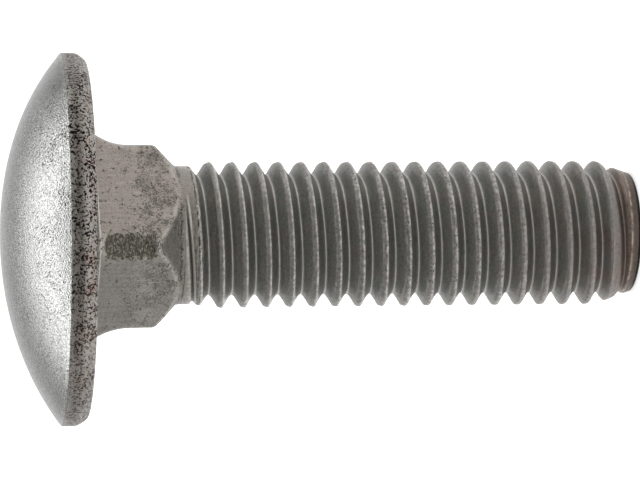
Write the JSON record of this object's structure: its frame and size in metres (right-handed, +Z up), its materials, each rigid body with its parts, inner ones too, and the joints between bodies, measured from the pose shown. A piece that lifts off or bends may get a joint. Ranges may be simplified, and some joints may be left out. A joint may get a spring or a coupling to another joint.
{
  "type": "carriage bolt",
  "caption": "Steel carriage bolt with a domed round head, a square neck under it and a rolled right-hand thread down to a tapered end, standing on that end.",
  "frame": {"origin": "on the floor, under the middle of the bolt, which stands on its end", "axes": "+Z up along the bolt's axis, from its end to its head; +X and +Y out through two of the square neck's flats"},
  "size_m": [0.02, 0.02, 0.0342],
  "materials": {
    "satin_steel": "plain grey steel, satin from tumbling, with a pitted rim and dark thread flanks"
  },
  "bodies": {
    "root": {"carriage_bolt": "satin_steel"}
  },
  "joints": []
}
